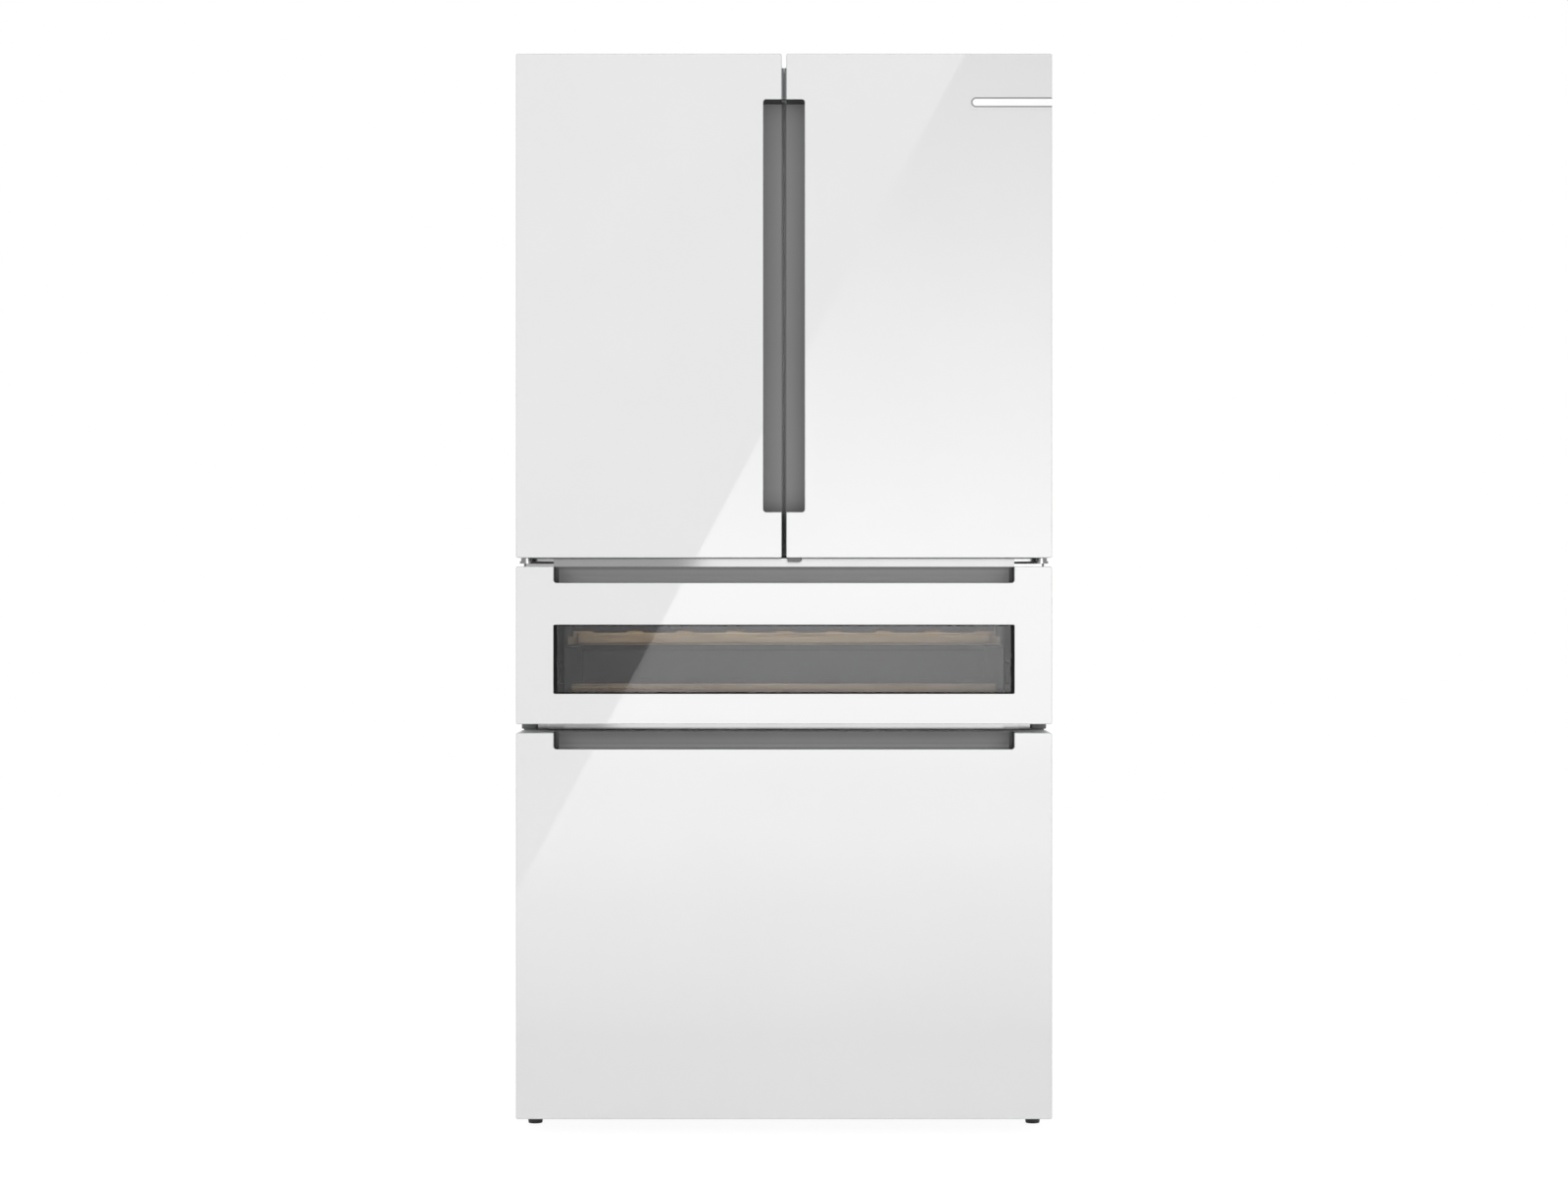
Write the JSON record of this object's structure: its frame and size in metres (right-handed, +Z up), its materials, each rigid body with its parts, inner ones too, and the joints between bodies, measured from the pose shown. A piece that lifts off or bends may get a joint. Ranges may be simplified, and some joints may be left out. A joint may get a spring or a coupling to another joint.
{
  "type": "french door refrigerator",
  "caption": "Tall free-standing refrigerator with paired white glass doors over a windowed wine drawer and a deep freezer drawer, all opened by recessed grips.",
  "frame": {"origin": "on the floor, under the middle of the refrigerator's box", "axes": "+Z up, +X to the right seen from the front, -Y out of the glass fronts"},
  "size_m": [0.905, 0.731, 1.829],
  "materials": {
    "white_glass": "white back-painted glass",
    "white_shell": "satin white",
    "cabinet_paint": "fine textured grey paint",
    "galvanised_steel": "zinc plated",
    "foam": "rigid foam",
    "liner_plastic": "vacuum formed",
    "gasket_rubber": "soft matt",
    "handle_plastic": "anthracite, fine grain",
    "clear_plastic": "clear",
    "shelf_glass": "clear, polished edges",
    "window_glass": "smoked",
    "beech": "oiled",
    "black_paint": "black enamel",
    "black_rubber": "matt",
    "black_plastic": "moulded",
    "grey_plastic": "moulded",
    "aluminium": "mill finish",
    "light_plastic": "opal",
    "bar_metal": "bright satin"
  },
  "bodies": {
    "cabinet": {"outer_cabinet": "cabinet_paint", "back_panel": "galvanised_steel", "insulation_foam": "foam", "fridge_liner": "liner_plastic", "wine_liner": "black_plastic", "freezer_liner": "liner_plastic", "front_rails": "cabinet_paint", "base_frame": "galvanised_steel", "levelling_feet": "black_rubber", "door_hinges": "galvanised_steel", "hinge_covers": "grey_plastic", "compressor": "black_paint", "compressor_mounts": "black_rubber", "condenser_coil": "black_paint", "drain_pan": "black_plastic", "machine_cover": "galvanised_steel", "power_inlet": "black_plastic", "evaporator_coil": "aluminium", "evaporator_cover": "liner_plastic", "shelf_panes": "shelf_glass", "shelf_frames": "liner_plastic", "air_duct": "liner_plastic", "fridge_light": "light_plastic", "fixed_slides": "galvanised_steel"},
    "left_door": {"left_door_glass": "white_glass", "left_door_shell": "white_shell", "left_door_liner": "liner_plastic", "left_door_gasket": "gasket_rubber", "left_door_handle": "handle_plastic", "left_door_bins": "clear_plastic"},
    "right_door": {"right_door_glass": "white_glass", "right_door_shell": "white_shell", "right_door_liner": "liner_plastic", "right_door_gasket": "gasket_rubber", "right_door_handle": "handle_plastic", "right_door_bins": "clear_plastic", "right_door_bar": "bar_metal"},
    "mullion": {"flip_mullion": "grey_plastic"},
    "wine_drawer": {"wine_glass": "white_glass", "wine_window": "window_glass", "wine_window_frame": "black_plastic", "wine_shell": "white_shell", "wine_gasket": "gasket_rubber", "wine_handle": "handle_plastic", "wine_drawer_frame": "galvanised_steel", "wine_racks": "beech"},
    "wine_slides": {"wine_middle_slides": "galvanised_steel"},
    "freezer_drawer": {"freezer_glass": "white_glass", "freezer_shell": "white_shell", "freezer_gasket": "gasket_rubber", "freezer_handle": "handle_plastic", "freezer_drawer_frame": "galvanised_steel", "freezer_basket": "clear_plastic"},
    "tray": {"freezer_tray": "clear_plastic"},
    "freezer_slides": {"freezer_middle_slides": "galvanised_steel"},
    "left_crisper": {"left_crisper": "clear_plastic"},
    "right_crisper": {"right_crisper": "clear_plastic"},
    "condenser_fan": {"condenser_fan": "black_plastic"},
    "evaporator_fan": {"evaporator_fan": "black_plastic"},
    "rollers": {"rear_rollers": "black_plastic"}
  },
  "joints": [
    {"name": "left_door_hinge", "type": "hinge", "parent": "cabinet", "child": "left_door", "pos_m": [-0.44, -0.3093, 1.4], "axis": [0, 0, -1], "range_deg": [0, 120]},
    {"name": "right_door_hinge", "type": "hinge", "parent": "cabinet", "child": "right_door", "pos_m": [0.44, -0.3093, 1.4], "axis": [0, 0, 1], "range_deg": [0, 120]},
    {"name": "mullion_flip", "type": "hinge", "parent": "left_door", "child": "mullion", "pos_m": [-0.03, -0.2338, 1.38], "axis": [0, 0, -1], "range_deg": [0, 90]},
    {"name": "wine_drawer_slide", "type": "slide", "parent": "cabinet", "child": "wine_drawer", "axis": [0, -1, 0], "range_m": [0, 0.4]},
    {"name": "wine_slides_follow", "type": "slide", "parent": "cabinet", "child": "wine_slides", "axis": [0, -1, 0], "range_m": [0, 0.2]},
    {"name": "freezer_drawer_slide", "type": "slide", "parent": "cabinet", "child": "freezer_drawer", "axis": [0, -1, 0], "range_m": [0, 0.4]},
    {"name": "freezer_slides_follow", "type": "slide", "parent": "cabinet", "child": "freezer_slides", "axis": [0, -1, 0], "range_m": [0, 0.2]},
    {"name": "tray_slide", "type": "slide", "parent": "freezer_drawer", "child": "tray", "axis": [0, 1, 0], "range_m": [0, 0.15]},
    {"name": "left_crisper_slide", "type": "slide", "parent": "cabinet", "child": "left_crisper", "axis": [0, -1, 0], "range_m": [0, 0.09]},
    {"name": "right_crisper_slide", "type": "slide", "parent": "cabinet", "child": "right_crisper", "axis": [0, -1, 0], "range_m": [0, 0.09]},
    {"name": "condenser_fan_spin", "type": "hinge", "parent": "cabinet", "child": "condenser_fan", "pos_m": [0.03, 0.253, 0.124], "axis": [1, 0, 0], "continuous": true},
    {"name": "evaporator_fan_spin", "type": "hinge", "parent": "cabinet", "child": "evaporator_fan", "pos_m": [0, 0.245, 0.5755], "axis": [0, 1, 0], "continuous": true},
    {"name": "rollers_spin", "type": "hinge", "parent": "cabinet", "child": "rollers", "pos_m": [0, 0.3055, 0.02], "axis": [1, 0, 0], "continuous": true}
  ],
  "couplings": [
    {"joint": "wine_slides_follow", "follows": "wine_drawer_slide", "ratio": 0.5},
    {"joint": "freezer_slides_follow", "follows": "freezer_drawer_slide", "ratio": 0.5}
  ]
}
